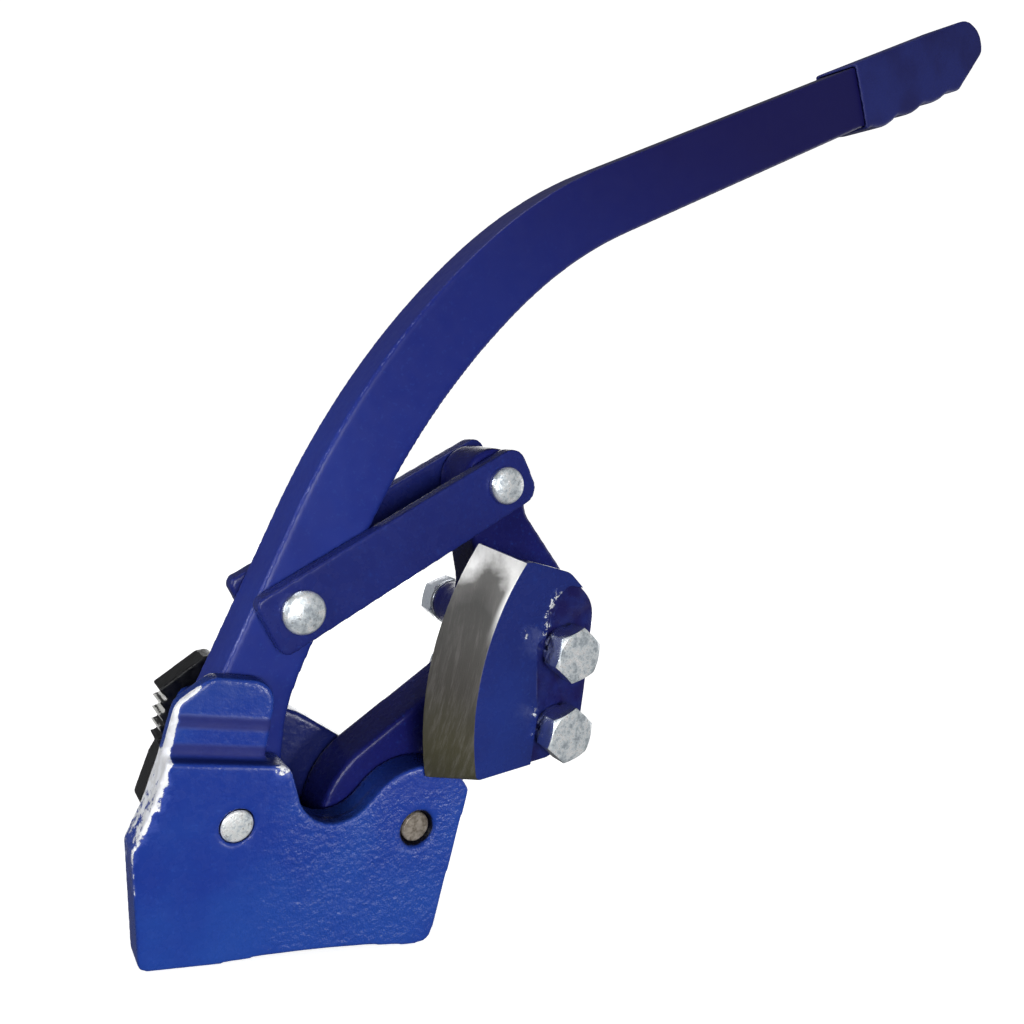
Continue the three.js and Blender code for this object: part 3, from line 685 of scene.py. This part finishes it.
def paper():
    """Pale paper that glows evenly, a little less round the object: painted shade round its foot, so that
    its shadow shows.
    """
    n = Nodes("floor_paper")
    n.shader.inputs["Specular IOR Level"].default_value = 0.0
    n.shader.inputs["Emission Strength"].default_value = 1.0
    grey = n.mix(n.noise(1.5, 2), (0.80, 0.80, 0.80), (0.785, 0.785, 0.785))
    away = n.span(n.distance((0, 0, 0)), 0.35, 1.6)
    n.put(n.shader.inputs["Emission Color"], n.mix(away, PAPER_SHADED_MIDDLE, PAPER_EDGE))
    return n.finish(grey, 0.95)


def bowl():
    """A pale floor that curves up all round, so that every view has a plain ground."""
    profile = [(FLOOR_FLAT / 2, 0.0), (FLOOR_FLAT, 0.0)]
    for degrees in range(10, 91, 10):
        a = math.radians(degrees)
        profile.append((FLOOR_FLAT + FLOOR_RISE * math.sin(a), FLOOR_RISE * (1 - math.cos(a))))
    profile.append((FLOOR_FLAT + FLOOR_RISE, FLOOR_TOP))
    turns = [2 * math.pi * i / FLOOR_STEPS for i in range(FLOOR_STEPS)]
    bm = bmesh.new()
    rings = [[bm.verts.new((r * math.cos(t), r * math.sin(t), z)) for t in turns] for r, z in profile]
    middle = bm.verts.new((0, 0, 0))
    for i in range(FLOOR_STEPS):
        j = (i + 1) % FLOOR_STEPS
        bm.faces.new((middle, rings[0][i], rings[0][j]))
        for inner, outer in zip(rings, rings[1:]):
            bm.faces.new((inner[i], outer[i], outer[j], inner[j]))
    mesh = bpy.data.meshes.new("floor")
    bm.to_mesh(mesh)
    bm.free()
    mesh.shade_smooth()
    obj = bpy.data.objects.new("floor", mesh)
    bpy.context.scene.collection.objects.link(obj)
    obj.location.z = CAD_BOX[0][2] - FLOOR_GAP
    mesh.materials.append(paper())
    obj.visible_diffuse = False
    obj.visible_glossy = False


def lamp(name, place, target, size, watts):
    data = bpy.data.lights.new(name, "AREA")
    data.shape = "DISK"
    data.size = size
    data.energy = watts
    obj = bpy.data.objects.new(name, data)
    obj.location = place
    obj.rotation_euler = (Vector(target) - Vector(place)).to_track_quat("-Z", "Y").to_euler()
    obj.visible_camera = False
    bpy.context.scene.collection.objects.link(obj)
    return obj


bowl()
HEART = Vector(((CAD_BOX[0][0] + CAD_BOX[1][0]) / 2, 0, 150 * MM))
CHEEK = (50 * MM, 0, 30 * MM)
BODY_MIDDLE = (30 * MM, 0, 50 * MM)
lamp("key", (-0.15, -0.95, 0.14), BODY_MIDDLE, 0.5, 7.6)
# The glance lamp lights only the casting, for the glints on its lumps.
glance = lamp("glance", (0.42, -0.75, 0.07), CHEEK, 0.16, 3.0)
glance.light_linking.receiver_collection = bpy.data.collections.new("lit_by_glance")
glance.light_linking.receiver_collection.objects.link(casting)
lamp("left", (-1.1, -0.5, 0.16), HEART, 0.4, 4)
lamp("rear_left", (-1.25, 0.25, 0.25), HEART, 0.5, 5)
lamp("rear_right", (0.65, 1.2, 0.16), HEART, 1.1, 8)
lamp("right", (1.5, -0.1, 0.3), HEART, 1.0, 4)
lamp("top", (-0.45, 0.5, 1.7), HEART, 0.8, 5)

world = bpy.data.worlds.new("studio")
world.use_nodes = True
sky = world.node_tree.nodes["Background"]
sky.inputs["Color"].default_value = (1, 1, 1, 1)
sky.inputs["Strength"].default_value = 0.12
bpy.context.scene.world = world
bpy.context.scene.view_settings.view_transform = "Standard"

# ---------------------------------------------------------------- camera
CAMERA_PLACE = Vector((-0.09943, -0.2710, 0.15177))
CAMERA_AZIMUTH = math.radians(34.43)
CAMERA_ROLL = math.radians(12.96)
CAMERA_LENS = 30.94
FILM_WIDTH = 36
UP = Vector((0, 0, 1))
camera_data = bpy.data.cameras.new("camera")
camera_data.lens = CAMERA_LENS
camera_data.sensor_width = FILM_WIDTH
camera_data.clip_start = 0.01
camera = bpy.data.objects.new("camera", camera_data)
forward = Vector((math.sin(CAMERA_AZIMUTH), math.cos(CAMERA_AZIMUTH), 0))
level_right = forward.cross(UP)
right = level_right * math.cos(CAMERA_ROLL) + UP * math.sin(CAMERA_ROLL)
up = right.cross(forward)
camera.matrix_world = Matrix((
    (right.x, up.x, -forward.x, CAMERA_PLACE.x),
    (right.y, up.y, -forward.y, CAMERA_PLACE.y),
    (right.z, up.z, -forward.z, CAMERA_PLACE.z),
    (0, 0, 0, 1),
))
bpy.context.scene.collection.objects.link(camera)
bpy.context.scene.camera = camera
